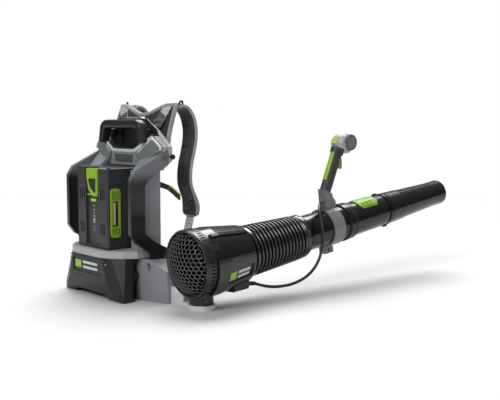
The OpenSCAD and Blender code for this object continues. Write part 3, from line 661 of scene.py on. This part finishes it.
# Shoulder straps: foam under air mesh, with a bound edge, pinched by three sewn darts
STRAP_X, STRAP_HALF, STRAP_THICK = 95, 30, 6
STRAP = [(57, 450.5), (66, 452.5), (75, 452), (84, 448), (92, 440), (99, 429), (104, 415), (107.5, 393),
         (105.5, 366), (99.5, 340), (92.7, 313), (89.7, 286), (90.5, 265), (96, 248), (104.5, 229),
         (108.5, 212), (108, 196), (106.5, 182)]
DARTS = [409, 354, 301]
STRAP_FOOT, STRAP_END = 208, 188.5


def strap_frame():
    """The strap's middle line, and the outward direction at each of its points."""
    line = curve([(STRAP_X, y, z) for y, z in STRAP], 8)
    outward = [Vector((1, 0, 0)).cross(d) for d in directions(line)]
    return line, outward


def strap_point(z, across, lift):
    """Point on the strap's inner side at a height, across from its middle, lifted off the face."""
    line, outward = strap_frame()
    below = range(len(line) // 4, len(line))
    i = min(below, key=lambda k: abs(line[k].z - z))
    crown = STRAP_THICK * (1 - 0.25 * (across / STRAP_HALF) ** 2)
    return line[i] + Vector((across, 0, 0)) - outward[i] * (crown + lift)


def strap_pad():
    """Padded strap that is thinner at its ends, wider at its foot and pinched at the darts."""
    line, outward = strap_frame()
    rings, count = [], 40
    total = len(line) - 1
    for i, (p, out) in enumerate(zip(line, outward)):
        left = (total - i) / total
        end = min(1.0, math.sqrt(max(0.05, 1 - max(0, 1 - left / 0.05) ** 2)))
        start = min(1.0, 0.75 + i / total * 4)
        foot = math.exp(-((p.z - STRAP_FOOT) / 22) ** 2) if i > total / 2 else 0
        half = STRAP_HALF * end * (1 - 0.05 * math.sin(math.pi * i / total) + 0.13 * foot)
        thick = STRAP_THICK * (0.45 + 0.55 * end) * start
        ring = []
        for a, b in oval(half, thick, count, 3.2):
            pinch = sum(math.exp(-((p.z - z) / 3.0) ** 2) for z in DARTS) if b < 0 and i > total / 4 else 0
            inside = max(0.0, 1 - (a / (0.62 * half)) ** 6)
            ring.append(p + Vector((a, 0, 0)) + out * b * (1 - 0.5 * pinch * inside)
                        + out * (0.12 * thick if abs(a) > 0.86 * half and b < 0 else 0))
        rings.append(ring)
    return loft(rings)


right_pad = strap_pad()
for side, shape in (("right", right_pad), ("left", mirror_x(right_pad))):
    strap = piece("strap_pad_" + side, shape, ["mesh_cloth", "binding", "shell_cloth"], "pack",
                  hides=["shoulder_strap_" + side], soft_edges=80)
    for polygon in strap.data.polygons:
        away = [abs(abs(strap.data.vertices[v].co.x) * 1000 - STRAP_X) for v in polygon.vertices]
        low = max(strap.data.vertices[v].co.z for v in polygon.vertices) * 1000 < STRAP_END
        if min(away) > 0.80 * STRAP_HALF or low:
            polygon.material_index = 1
    smoother(strap)

seams = [tube([strap_point(z, x, -1.6) for x in (-17, -8, 0, 8, 17)], 1.0, 6, 3) for z in DARTS]
both_sides("strap_darts", merged(*seams), "black", "pack")
edge_rows = [stitches([strap_point(z, x, 0.1) for z in range(425, 200, -15)], 0.4) for x in (-21.5, 21.5)]
both_sides("strap_stitches", merged(*edge_rows), "thread", "pack")
# Folded keeper and the sewn end patch at the foot of the strap
keeper = ribbon([strap_point(231, -19, 1.2), strap_point(228, 0, 2.4), strap_point(231, 19, 1.2)],
                (0, 0, 1), 7, 2.2)
fold = ribbon([strap_point(217, -17, 0.6), strap_point(223, 0, 2.2), strap_point(217, 17, 0.6)],
              (0, 0, 1), 5, 2.0)
both_sides("strap_keeper", merged(keeper, fold), "webbing_dark", "pack")
patch = [strap_point(204, a, 0.2) + Vector((0, 0, b)) for a, b in oval(17, 11, 28, 3.0)]
middle = sum(patch, Vector()) / len(patch)
back_ring = [q + Vector((0, 0.8, 0)) for q in patch]
front_ring = [q * 0.9 + middle * 0.1 + Vector((0, -1.4, 0)) for q in patch]
both_sides("strap_patch", loft([back_ring, patch, front_ring]), "shell_cloth", "pack")

# Webbing from the strap's foot to a slot in the frame
WEB = [(107.5, 203), (106.5, 190), (104, 176), (97, 152), (82, 130), (60, 116), (43, 109.5), (30, 106.5),
       (18.5, 105)]
strap_web = ribbon([(96, y, z) for y, z in WEB], (1, 0, 0), lambda t: 31 - 8 * max(0, t - 0.75) * 4, 1.8)
# The strap's webbing takes the paler copy, painted light against the strap's shade
both_sides("strap_web", strap_web, "webbing_pale", "pack", hides=["strap_webbing"])
# Black strip across the webbing at the strap's foot: painted shade of the slot it passes through
slot_shade = ribbon([(79, 105.5, 187), (96, 104.6, 186), (113, 105.5, 187)], (0, 0, 1), 3.4, 3.0)
both_sides("strap_slot_shade", slot_shade, "black", "pack")


# Yoke between the straps, scooped at the middle, with a bound edge
YOKE_HALF = 118


def yoke_rib(x):
    """Lowest and highest point of the yoke at that x, as y and z."""
    share = abs(x) / YOKE_HALF
    top = 437 + 23 * (0.5 - 0.5 * math.cos(math.pi * min(1, share * 1.15)))
    return (20 + 2 * share, 358 - 3 * math.sin(math.pi * share) + 6 * share), (32 + 14 * share, top)


def yoke():
    rings = []
    for x in range(-YOKE_HALF, YOKE_HALF + 1, 4):
        (y0, z0), (y1, z1) = yoke_rib(x)
        low, high = Vector((x, y0 + 5.5, z0)), Vector((x, y1 + 5, z1))
        along = (high - low).normalized()
        out = Vector((1, 0, 0)).cross(along)
        edge = math.sqrt(max(0.08, 1 - max(0, abs(x) / YOKE_HALF - 0.93) ** 2 / 0.0055))
        rings.append([(low + high) / 2 + along * a + out * b
                      for a, b in oval((high - low).length / 2, 5.4 * edge, 40, 4.5)])
    return loft(rings)


yoke_pad = piece("yoke_pad", yoke(), "shell_cloth", "pack", hides=["shoulder_yoke"],
                 soft_edges=80)
(y0, z0), (y1, z1) = yoke_rib(YOKE_HALF)
edge_line = [(116, y0 + 5, z0 - 1), (117.5, y0 + 8, z0 + 26), (118, y1 - 6, z1 - 34), (117, y1 + 4, z1 - 8),
             (116, 56, 455)]
both_sides("yoke_binding", ribbon(edge_line, (1, 0, 0), 6.5, 11.5, power=3), "binding", "pack")
top_line = []
for x in range(-116, 117, 8):
    (y0, z0), (y1, z1) = yoke_rib(x)
    top_line.append((x, y1 + 4, z1 - 4.5))
piece("yoke_top_binding", ribbon(top_line, (0, 0, 1), 11, 12.6, steps=2, power=3), "binding", "pack")
rows = []
for x in (-70, 0, 70):
    (y0, z0), (y1, z1) = yoke_rib(x)
    rows.append(stitches([(x, y0 - 0.2 + (y1 - y0) * t, z0 + (z1 - z0) * t)
                          for t in (0.08, 0.35, 0.65, 0.9)]))
piece("yoke_stitches", merged(*rows), "thread", "pack")

# Load lifters: a webbing strip from the frame to the strap's crown, with a ladder buckle and a tail
lift_line = [(74, 24.7, 407.5), (80.5, 29.7, 421), (87, 34.6, 435), (93, 39.4, 447.5), (97, 43.4, 455.5)]
both_sides("lifter_web", ribbon(lift_line, (1, 0, 0), 32, 1.8), "webbing", "pack", hides=["load_lifters"])
tail = ribbon([(p[0], p[1] - 2.2, p[2]) for p in lift_line[:3]], (1, 0, 0), 30, 1.6)
both_sides("lifter_tail", tail, "webbing_dark", "pack")
bars = [ribbon([(55.5 + dx, 22.6 + dy, 407 + dz), (92.5 + dx, 22.6 + dy, 407 + dz)], (0, 0.35, 1), 4.4, 5,
               steps=1)
        for dx, dy, dz in ((0, 0, 0), (5, 4.4, 12))]
rails = [ribbon([(x, 22.6, 406), (x + 6, 27.2, 420)], (1, 0, 0), 3.4, 4.6, steps=1) for x in (56.5, 91.5)]
both_sides("lifter_lock", merged(*bars, *rails), "base_grey", "pack")
loop = ribbon([(112, 58, 452), (114.5, 62, 461), (118, 64.5, 465.5), (120, 67, 461), (119, 66, 452)],
              (1, 0, 0), 5, 3.2)
both_sides("lifter_loop", loop, "black", "pack")

# Chest strap and its clip
piece("chest_web", ribbon([(-67, 97.2, 261), (-40, 97.2, 258), (-10, 97.2, 254.5), (22, 97.2, 249.5)],
                          (0, 0, 1), lambda t: 17 - 4 * t, 1.8), "webbing_dark", "pack",
      hides=["chest_strap"])
clip = extrude([(14, 244), (17, 250.5), (26.6, 255.8), (38, 252), (52, 245), (64.5, 237), (64.5, 221),
                (50, 228), (34, 236.5)], 93.4, 100.6, "y")
rounded(piece("chest_clip", clip, "olive", "pack", hides=["chest_buckle"]), 2.2)
ribs = [ribbon([(x, 92.8, z), (x + 5, 92.8, z + 11)], (1, 0, 0), 2.2, 1.8, steps=1)
        for x, z in ((29, 240.5), (35, 238), (47, 232.5), (53, 230))]
piece("chest_clip_ribs", merged(*ribs), "lime_dark", "pack")

# Back pad: a cushion with sewn channels, flat against the frame
PAD_MIDDLE = 241
pad = loft([[Vector((a, y, PAD_MIDDLE + b)) for a, b in oval(70 * k, 107 * k, 64, 5)]
            for y, k in ((19.5, 0.94), (21, 0.98), (26, 1.0), (30, 0.98), (32, 0.93))])
back = piece("back_cushion", pad, "mesh_cloth", "pack", hides=["back_pad"], soft_edges=70)
swollen(back, 5, 7)


def back_channels(p):
    """Sewn channels in the cushion's front, whose back stays flat."""
    groove = sum(math.exp(-((abs(p.x) - x) / 3.2) ** 2) for x in (26, 70))
    groove += 0.9 * sum(math.exp(-((p.z - z) / 3.2) ** 2) for z in (188, PAD_MIDDLE, 294))
    front = max(0.0, min(1.0, (p.y - 25) / 6))
    return p.x, max(17.4, p.y - 4.0 * min(1, groove) * front), p.z


reshape(back, back_channels)
smoother(back)

# Belt wings
BELT_Z = 105
belt_line = [(x, y, BELT_Z) for x, y in
             ((113.5, 24), (114.5, 31), (119, 39), (124, 46), (130, 66), (130, 90), (124, 111))]
wing = ribbon(belt_line, (0, 0, 1), lambda t: 33 * (0.72 + 0.28 * math.sin(math.pi * min(1, t * 1.1)) ** 0.6),
              lambda t: 10 * (0.6 + 0.4 * math.sin(math.pi * t) ** 0.4), steps=8, power=3.2, count=32)
for wing_piece in both_sides("belt_wing", wing, "pad_cloth", "pack", hides=["hip_belt"]):
    swollen(wing_piece, 3.5, 2.5)
    smoother(wing_piece)
belt_web = ribbon([(x, y, BELT_Z) for x, y in
                   ((119.5, 31), (129.5, 46), (135.8, 66), (135.8, 90), (129, 112))], (0, 0, 1), 19, 1.6)
both_sides("belt_web", belt_web, "webbing_dark", "pack")

# ------------------------------------------------------------------ top of the pack
# Carry handle: a rounded bar on two legs, with a parting line along its rear edge
HANDLE = [(-88, 366), (-86, 380), (-83, 394), (-79, 404), (-70, 410), (-56, 411), (0, 411), (56, 411),
          (70, 410), (79, 404), (83, 394), (86, 380), (88, 366)]
bar = ribbon([(x, -25, z) for x, z in HANDLE], (0, 1, 0), 25, lambda t: 21 if 0.2 < t < 0.8 else 18,
             steps=6, power=3.6, count=32)
legs = [block((x - 9, -15, 383), (x + 9, 2, 399)) for x in (-76, 76)]
rounded(piece("carry_bar", bar, "carry", "pack", hides=["carry_handle"]), 0.1, 1)
rounded(piece("carry_feet", merged(*legs), "carry", "pack"), 2.5)
seam = tube([(x * 1.03, -31, z + (9.3 if abs(x) < 80 else 4)) for x, z in HANDLE[2:-2]], 0.7, 6, 6)
piece("carry_seam", seam, "black", "pack")
# Pale lip round the lower edge of the recess
lip_line = [(-112, -14.2, 381), (-80, -20, 364), (-48, -24.3, 346.5), (0, -24.3, 346), (48, -24.3, 346.5),
            (80, -20, 364), (112, -14.2, 381)]
lip = ribbon(lip_line[:3], (0.3, 0, 1), 9, 3, steps=1, power=3)
lip_mid = ribbon(lip_line[2:5], (0, 0, 1), 8, 3, steps=1, power=3)
piece("recess_lip", merged(lip, lip_mid, mirror_x(lip)), "lip", "pack")
# Dark lining of the recess's sloping sides and floor
lining = [(x * 0.985, -7, z + 4.4) for x, _, z in lip_line]
piece("recess_lining", ribbon(lining, (0, 1, 0), 24, 2, steps=1, power=3), "recess", "pack")
# Facet under the lip in a darker grey: painted shade
facet = extrude([(-42, 338), (42, 338), (36, 320), (-36, 320)], -24.6, -22, "y")
rounded(piece("cowl_facet", facet, "cowl_slate", "pack"), 0.8)
# Pale border along the top and outer end of each shoulder panel
border = tube([(62, -23, 343), (86, -20.4, 359), (108, -17.2, 374), (117, -16.0, 374), (133, -13.8, 363),
               (141, -12.8, 355), (139, -13.0, 349)], 2.7, 12, 5)
piece("panel_border_right", border, "lip", "pack")
# The left border takes the darker copy of the lip grey: painted shade
piece("panel_border_left", mirror_x(border), "lip_dull", "pack")

# ------------------------------------------------------------------ battery details
battery_low, battery_high = (v * 1000 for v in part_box("battery_case"))
RIGHT, REAR, TOP = battery_high.x, battery_low.y, battery_high.z
LINE_Z = 268
CHANNEL_FLOOR = REAR + 5
# Light grey strips along the battery's top edge: a painted highlight
right_highlight = block((RIGHT - 0.5, -104, TOP - 3.2), (RIGHT + 0.5, -30, TOP - 0.3))
rear_highlight = block((32, REAR - 0.4, TOP - 3.2), (66, REAR + 0.6, TOP - 0.3))
piece("battery_highlight_trim", merged(right_highlight, rear_highlight), "dock", "battery")
lines = [block((31, REAR - 0.25, TOP - 5.4), (67.4, REAR + 0.5, TOP - 4)),
         block((RIGHT - 0.5, -109.5, TOP - 5.4), (RIGHT + 0.25, -27, TOP - 4)),
         block((31, REAR - 0.25, LINE_Z), (67.4, REAR + 0.5, LINE_Z + 1.2)),
         block((-67.4, REAR - 0.25, LINE_Z), (-31, REAR + 0.5, LINE_Z + 1.2))]
piece("battery_lines", merged(*lines), "black", "battery")


def channel_marks(rows):
    """Plain marks on the channel's floor under the button, from each one's lower edge and height."""
    return merged(*[block((-4, CHANNEL_FLOOR - 0.3, z), (4, CHANNEL_FLOOR + 0.4, z + h)) for z, h in rows])


piece("battery_marks", channel_marks([(190, 4), (176, 11)]), "mark", "battery")
piece("battery_marks_dull", channel_marks([(214, 6), (204, 6), (197, 4), (163, 4), (156, 4)]), "mark_dull",
      "battery")
# Dark floor of the latch's window, and knuckles over its hinge pin
window = [(-15.6, 280.6), (16.6, 280.6), (15.6, 249.4), (6, 249.4), (-8.8, 260), (-15.6, 274)]
piece("latch_window", extrude(window, REAR + 0.6, REAR + 2.2, "y"), "bay", "latch")
pin_y, pin_z = (v * 1000 for v in list(joints["latch_hinge"]["pos_m"])[1:])
knuckles = [tube([(x, pin_y, pin_z), (x + 5.2, pin_y, pin_z)], 2.5, 20, 1) for x in (-29.8, 24.8)]
piece("latch_knuckles", merged(*knuckles), "charcoal", "battery")
# Gauge: dark ribs above and below the window, and a lit bar in it
bars = [block((RIGHT + 1.6, y, z), (RIGHT + 2.3, y + 2.6, z + h))
        for y in (-102.4, -96.6, -90.8, -85.2) for z, h in ((234, 20), (152, 16))]
piece("gauge_ribs", merged(*bars), "lime_dark", "battery")
piece("gauge_bar", block((RIGHT + 0.4, -98.4, 175), (RIGHT + 0.9, -93.4, 227)), "pinkish", "battery")
piece("battery_light", block((RIGHT - 0.4, -45.5, 187), (RIGHT + 0.5, -42, 222)), "lime_dark", "battery")
creases = [block((x - 1, REAR - 0.2, 127), (x + 1, REAR + 0.5, 300)) for x in (-66, 66)]
piece("battery_creases", merged(*creases), "bay", "battery")

# ------------------------------------------------------------------ plain badges in the two recesses
HOUSING_REAR = -128


def arc_plate(r0, r1, s0, s1, from_angle, to_angle, thick):
    """Curved plate on a cone about Y; r0 at s0 and r1 at s1, angles in degrees below +X."""
    rings = []
    for k in range(9):
        a = math.radians(from_angle + (to_angle - from_angle) * k / 8)
        rings.append([(r * math.cos(a), s, -r * math.sin(a))
                      for r, s in ((r0, s0), (r1, s1), (r1 + thick, s1), (r0 + thick, s0))])
    return loft(rings)


def cheek_radius(rear_radius, s):
    """Radius on the cheek's cone, which narrows by 11 over 76 from its rear."""
    return rear_radius - (s + 188) / 76 * 11


def cheek_plate(s0, s1, a0, a1):
    """Plate 0.1 above the floor of the cheek's recess."""
    return arc_plate(cheek_radius(79.5, s0) + 0.1, cheek_radius(79.5, s1) + 0.1, s0, s1, a0, a1, 0.8)


def housing_plate(x0, x1, z0, z1):
    """Plate on the rear face of the lower housing."""
    return block((x0, HOUSING_REAR - 0.8, z0), (x1, HOUSING_REAR + 0.3, z1))


piece("cheek_badge_lime", cheek_plate(-186, -166, 16, 31), "lime", "blower", HOUSE)
piece("cheek_badge_pale", merged(cheek_plate(-160, -122, 16, 21.5), cheek_plate(-160, -122, 25.5, 31)),
      "arm_white", "blower", HOUSE)
# Lighter glossy rod along the cheek's top edge: a painted highlight
highlight_rim_line = []
for s, degrees in ((-190, 30), (-190, 4), (-184, -4), (-150, -6), (-116, -7)):
    r, a = cheek_radius(81.5, s), math.radians(degrees)
    highlight_rim_line.append((r * math.cos(a), s, -r * math.sin(a)))
piece("cheek_highlight_rim", tube(highlight_rim_line, 1.0, 8, 8), "mesh", "blower", HOUSE)
piece("housing_badge_lime", housing_plate(-58, -30, 66, 84), "lime", "pack")
piece("housing_badge_pale", merged(housing_plate(-22, 44, 66, 72), housing_plate(-22, 44, 78, 84)),
      "arm_white", "pack")
# Black strips in the gap above the lower housing: painted shade
gap = [block((-79, -129.2, 94.2), (79, -126.6, 96.8)), block((-66, -129.4, 97.4), (66, -128, 99.6))]
piece("housing_gap", merged(*gap), "black", "pack")


# ------------------------------------------------------------------ blower details
def round_plug(centre, toward, radius, depth, sides=20):
    """Low domed cylinder at a point, facing a direction."""
    d = Vector(toward).normalized()
    u = d.orthogonal().normalized()
    v = d.cross(u)
    c = Vector(centre)
    angles = [2 * math.pi * k / sides for k in range(sides)]
    return loft([[c + d * h + (u * math.cos(a) + v * math.sin(a)) * r for a in angles]
                 for h, r in ((-1, radius), (depth * 0.6, radius), (depth, radius * 0.8))])


def on_round(radius, s, degrees):
    """Point on a cylinder about Y, and the direction straight out of it."""
    a = math.radians(degrees)
    return (radius * math.cos(a), s, -radius * math.sin(a)), (math.cos(a), 0, -math.sin(a))


screws = [round_plug((12, s, z), (1, 0, 0), 2.6, 1.0) for s, z in ((203, 66), (209, 56))]
piece("base_screws", merged(*screws), "screw", "tube", TUBE)
holes = [round_plug(*on_round(48.4, s, a), 1.7, 0.5) for s, a in
         ((184, -52), (193, -56), (201, -60), (209, -52))]
piece("band_holes", merged(*holes), "black", "tube", TUBE)
piece("band_bolt", tube([(-18, 188, -58), (12, 188, -58)], 2.5, 16, 1), "screw", "tube", TUBE)
bolt_heads = [round_plug((x, 188, -58), (x, 0, 0), 4.6, 2.4, 6) for x in (8.2, -14.2)]
piece("band_bolt_heads", merged(*bolt_heads), "screw", "tube", TUBE)
for s in (256, 262):
    groove = [(46.4, s), (47.1, s + 0.6), (47.1, s + 1), (46.4, s + 1.6)]
    piece("joint_groove_%d" % s, revolve(groove, 96), "black", "tube", TUBE)
# Stepped sleeve, raised marks and a plain plate on the nozzle
sleeve = [(41.3, 405.2), (42.6, 405.8), (40.2, 470), (37.6, 471)]
piece("nozzle_sleeve", revolve(sleeve, 96), "tube", "nozzle_tip", TUBE)
marks = [arc_plate(r, r, s, s + 3.2, -16, -2, 2.0) for r, s in ((40.6, 423), (38.6, 462))]
piece("nozzle_marks", merged(*marks), "ring", "nozzle_tip", TUBE)
piece("nozzle_plate", arc_plate(42.2, 40.4, 412, 460, -74, -50, 0.9), "cheek", "nozzle_tip", TUBE)
# Grip ribs round the dial, and a ring on its face
DIAL_RIBS = 30
knurls = []
for k in range(DIAL_RIBS):
    a = 2 * math.pi * k / DIAL_RIBS
    u = Vector((0, math.cos(a), math.sin(a)))
    centre = Vector((0, 18, 139)) + u * 19.9
    knurls.append(tube([centre + Vector((12.5, 0, 0)), centre + Vector((21.5, 0, 0))], 0.9, 6, 1))
piece("dial_ribs", merged(*knurls), "dial", "dial", GRIP)
dial_ring = revolve([(15.2, -0.4), (15.6, 0.5), (16.6, 0.5), (17.0, -0.4)], 64, loop=True)
piece("dial_face", dial_ring, "black", "dial",
      GRIP @ Matrix.Translation((0.0226, 0.018, 0.139)) @ Matrix.Rotation(math.radians(-90), 4, "Z"))
# Plain squares on the tube's panel
squares = [arc_plate(47.3, 46.9, s, s + 9, a, a + 9, 0.5) for s in (306, 320, 334) for a in (-66, -54)]
piece("panel_squares", merged(*squares), "lime", "tube", TUBE)
# Bolt in the pocket of the side base
piece("side_bolt", round_plug((147, -44, 82), (0, -1, 0), 4.2, 2.2, 6), "screw", "pack")

# ------------------------------------------------------------------ room and light
FLOOR_X, FLOOR_Y, FLOOR_RADIUS, FLOOR_SIDES = 0.1, 0.3, 2.6, 72
ROOM_LOW, ROOM_HIGH = 0.14, 0.55

floor = bpy.data.objects.new("floor", bpy.data.meshes.new("floor"))
rim = []
for k in range(FLOOR_SIDES):
    a = math.radians(360 / FLOOR_SIDES * k)
    rim.append((FLOOR_X + FLOOR_RADIUS * math.cos(a), FLOOR_Y + FLOOR_RADIUS * math.sin(a), 0))
floor.data.from_pydata(rim, [], [range(FLOOR_SIDES)])
bpy.context.scene.collection.objects.link(floor)
paper = Nodes("paper")
paper.link(paper.ramp(paper.noise(3, 2), 0.3, 0.7, grey(0.56), grey(0.57)), "Base Color")
paper.fixed(Roughness=0.9, Specular_IOR_Level=0.1)
floor.data.materials.append(paper.material)

world = bpy.data.worlds.new("room")
bpy.context.scene.world = world
world.use_nodes = True
sky = world.node_tree
backdrop = sky.nodes["Background"]
backdrop.inputs["Color"].default_value = (1, 1, 1, 1)
backdrop.inputs["Strength"].default_value = 1.0
# The room lights softly, brighter overhead, while the backdrop itself shows white
room = sky.nodes.new("ShaderNodeBackground")
height = sky.nodes.new("ShaderNodeSeparateXYZ")
level = sky.nodes.new("ShaderNodeMapRange")
level.inputs["From Min"].default_value, level.inputs["From Max"].default_value = 0.0, 0.9
level.inputs["To Min"].default_value, level.inputs["To Max"].default_value = ROOM_LOW, ROOM_HIGH
rays, blend = sky.nodes.new("ShaderNodeLightPath"), sky.nodes.new("ShaderNodeMixShader")
sky.links.new(sky.nodes.new("ShaderNodeTexCoord").outputs["Generated"], height.inputs[0])
sky.links.new(height.outputs["Z"], level.inputs["Value"])
sky.links.new(level.outputs[0], room.inputs["Strength"])
sky.links.new(rays.outputs["Is Camera Ray"], blend.inputs[0])
sky.links.new(room.outputs[0], blend.inputs[1])
sky.links.new(backdrop.outputs[0], blend.inputs[2])
sky.links.new(blend.outputs[0], sky.nodes["World Output"].inputs["Surface"])
bpy.context.scene.view_settings.view_transform = "Standard"


def lamp(name, kind, place, target, power):
    """Lamp at a place, turned to a target. Its light is returned."""
    light = bpy.data.lights.new(name, kind)
    light.energy = power
    obj = bpy.data.objects.new(name, light)
    bpy.context.scene.collection.objects.link(obj)
    obj.location = place
    obj.rotation_euler = (Vector(target) - Vector(place)).to_track_quat("-Z", "Y").to_euler()
    return light


# Distant lamps with wide discs light the floor evenly and cast soft shadows
lamp("overhead", "SUN", (-0.9, 0.8, 2.1), (0, 0, 0), 4.1).angle = math.radians(42)
lamp("key", "SUN", (0.7, -1.6, 1.3), (0, 0, 0), 1.7).angle = math.radians(28)
fill = lamp("fill", "AREA", (2.9, 0.4, 1.2), (0.2, 0.1, 0.2), 6)
fill.shape, fill.size, fill.size_y = "RECTANGLE", 0.8, 1.6
